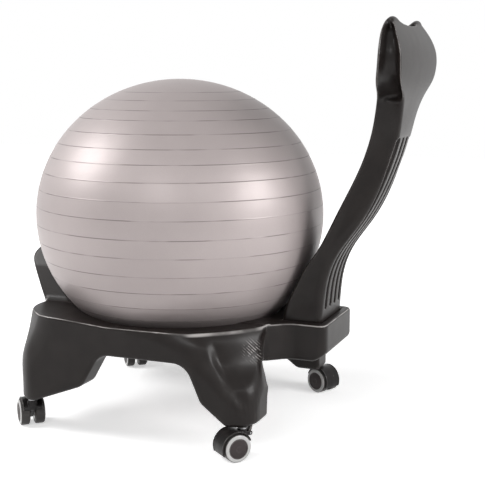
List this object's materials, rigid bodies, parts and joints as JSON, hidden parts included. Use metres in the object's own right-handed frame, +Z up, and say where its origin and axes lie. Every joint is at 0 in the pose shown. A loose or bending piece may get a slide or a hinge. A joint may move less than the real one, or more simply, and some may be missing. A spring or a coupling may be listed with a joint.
{
  "type": "balance ball chair",
  "caption": "Balance ball chair: an inflated exercise ball held in a moulded ring on legs with twin-wheel casters, with a curved backrest that plugs into the rear of the ring.",
  "frame": {"origin": "on the floor, at the centre of the chair's bounding box seen from above", "axes": "+Z up; the sitter faces -Y and the backrest stands on the +Y side; +X is the sitter's left"},
  "size_m": [0.55, 0.7618, 0.75],
  "materials": {
    "frame_plastic": "satin, finely grained",
    "ball_vinyl": "pearly satin, ribbed",
    "plug_plastic": "satin",
    "steel": "zinc plated",
    "brass": "knurled",
    "sleeve_nylon": "plain",
    "tyre_rubber": "matt",
    "hub_plastic": "semi-gloss",
    "caster_plastic": "satin"
  },
  "bodies": {
    "base": {"backrest": "frame_plastic", "backrest_bolts": "steel", "backrest_inserts": "brass", "backrest_washers": "steel", "frame_lock_screws": "steel", "front_cross_piece": "frame_plastic", "front_left_stem": "steel", "front_left_stem_sleeve": "sleeve_nylon", "front_right_stem": "steel", "front_right_stem_sleeve": "sleeve_nylon", "rear_cross_piece": "frame_plastic", "rear_left_stem": "steel", "rear_left_stem_sleeve": "sleeve_nylon", "rear_right_stem": "steel", "rear_right_stem_sleeve": "sleeve_nylon", "side_frame_left": "frame_plastic", "side_frame_right": "frame_plastic", "stem_grip_rings": "steel"},
    "ball": {"exercise_ball": "ball_vinyl", "valve_plug": "plug_plastic"},
    "front_left_swivel": {"front_left_caster_hood": "caster_plastic", "front_left_axle": "steel"},
    "front_left_right_wheel": {"front_left_right_wheel_hub": "hub_plastic", "front_left_right_tyre": "tyre_rubber"},
    "front_left_left_wheel": {"front_left_left_wheel_hub": "hub_plastic", "front_left_left_tyre": "tyre_rubber"},
    "front_right_swivel": {"front_right_caster_hood": "caster_plastic", "front_right_axle": "steel"},
    "front_right_right_wheel": {"front_right_right_wheel_hub": "hub_plastic", "front_right_right_tyre": "tyre_rubber"},
    "front_right_left_wheel": {"front_right_left_wheel_hub": "hub_plastic", "front_right_left_tyre": "tyre_rubber"},
    "rear_left_swivel": {"rear_left_caster_hood": "caster_plastic", "rear_left_axle": "steel", "rear_left_brake_pin": "steel"},
    "rear_left_right_wheel": {"rear_left_right_wheel_hub": "hub_plastic", "rear_left_right_tyre": "tyre_rubber"},
    "rear_left_left_wheel": {"rear_left_left_wheel_hub": "hub_plastic", "rear_left_left_tyre": "tyre_rubber"},
    "rear_left_brake": {"rear_left_brake_lever": "caster_plastic"},
    "rear_right_swivel": {"rear_right_caster_hood": "caster_plastic", "rear_right_axle": "steel", "rear_right_brake_pin": "steel"},
    "rear_right_right_wheel": {"rear_right_right_wheel_hub": "hub_plastic", "rear_right_right_tyre": "tyre_rubber"},
    "rear_right_left_wheel": {"rear_right_left_wheel_hub": "hub_plastic", "rear_right_left_tyre": "tyre_rubber"},
    "rear_right_brake": {"rear_right_brake_lever": "caster_plastic"}
  },
  "joints": [
    {"name": "ball_lift", "type": "slide", "parent": "base", "child": "ball", "axis": [0, 0, 1], "range_m": [0, 0.2]},
    {"name": "front_left_swivel_turn", "type": "hinge", "parent": "base", "child": "front_left_swivel", "pos_m": [0.212, -0.29227, 0.05], "axis": [0, 0, 1], "continuous": true},
    {"name": "front_left_right_wheel_spin", "type": "hinge", "parent": "front_left_swivel", "child": "front_left_right_wheel", "pos_m": [0.18856, -0.29498, 0.025], "axis": [0.682, -0.7314, 0], "continuous": true},
    {"name": "front_left_left_wheel_spin", "type": "hinge", "parent": "front_left_swivel", "child": "front_left_left_wheel", "pos_m": [0.20765, -0.31546, 0.025], "axis": [0.682, -0.7314, 0], "continuous": true},
    {"name": "front_right_swivel_turn", "type": "hinge", "parent": "base", "child": "front_right_swivel", "pos_m": [-0.212, -0.29227, 0.05], "axis": [0, 0, 1], "continuous": true},
    {"name": "front_right_right_wheel_spin", "type": "hinge", "parent": "front_right_swivel", "child": "front_right_right_wheel", "pos_m": [-0.23555, -0.29375, 0.025], "axis": [0.6428, -0.766, 0], "continuous": true},
    {"name": "front_right_left_wheel_spin", "type": "hinge", "parent": "front_right_swivel", "child": "front_right_left_wheel", "pos_m": [-0.21756, -0.3152, 0.025], "axis": [0.6428, -0.766, 0], "continuous": true},
    {"name": "rear_left_swivel_turn", "type": "hinge", "parent": "base", "child": "rear_left_swivel", "pos_m": [0.212, 0.13173, 0.05], "axis": [0, 0, 1], "continuous": true},
    {"name": "rear_left_right_wheel_spin", "type": "hinge", "parent": "rear_left_swivel", "child": "rear_left_right_wheel", "pos_m": [0.21756, 0.1088, 0.025], "axis": [0.6428, 0.766, 0], "continuous": true},
    {"name": "rear_left_left_wheel_spin", "type": "hinge", "parent": "rear_left_swivel", "child": "rear_left_left_wheel", "pos_m": [0.23555, 0.13025, 0.025], "axis": [0.6428, 0.766, 0], "continuous": true},
    {"name": "rear_left_brake_press", "type": "hinge", "parent": "rear_left_swivel", "child": "rear_left_brake", "pos_m": [0.20204, 0.14009, 0.0437], "axis": [0.6428, 0.766, 0], "range_deg": [-30, 0]},
    {"name": "rear_right_swivel_turn", "type": "hinge", "parent": "base", "child": "rear_right_swivel", "pos_m": [-0.212, 0.13173, 0.05], "axis": [0, 0, 1], "continuous": true},
    {"name": "rear_right_right_wheel_spin", "type": "hinge", "parent": "rear_right_swivel", "child": "rear_right_right_wheel", "pos_m": [-0.1909, 0.14231, 0.025], "axis": [-0.891, 0.454, 0], "continuous": true},
    {"name": "rear_right_left_wheel_spin", "type": "hinge", "parent": "rear_right_swivel", "child": "rear_right_left_wheel", "pos_m": [-0.21585, 0.15502, 0.025], "axis": [-0.891, 0.454, 0], "continuous": true},
    {"name": "rear_right_brake_press", "type": "hinge", "parent": "rear_right_swivel", "child": "rear_right_brake", "pos_m": [-0.2179, 0.12015, 0.0437], "axis": [-0.891, 0.454, 0], "range_deg": [-30, 0]}
  ]
}
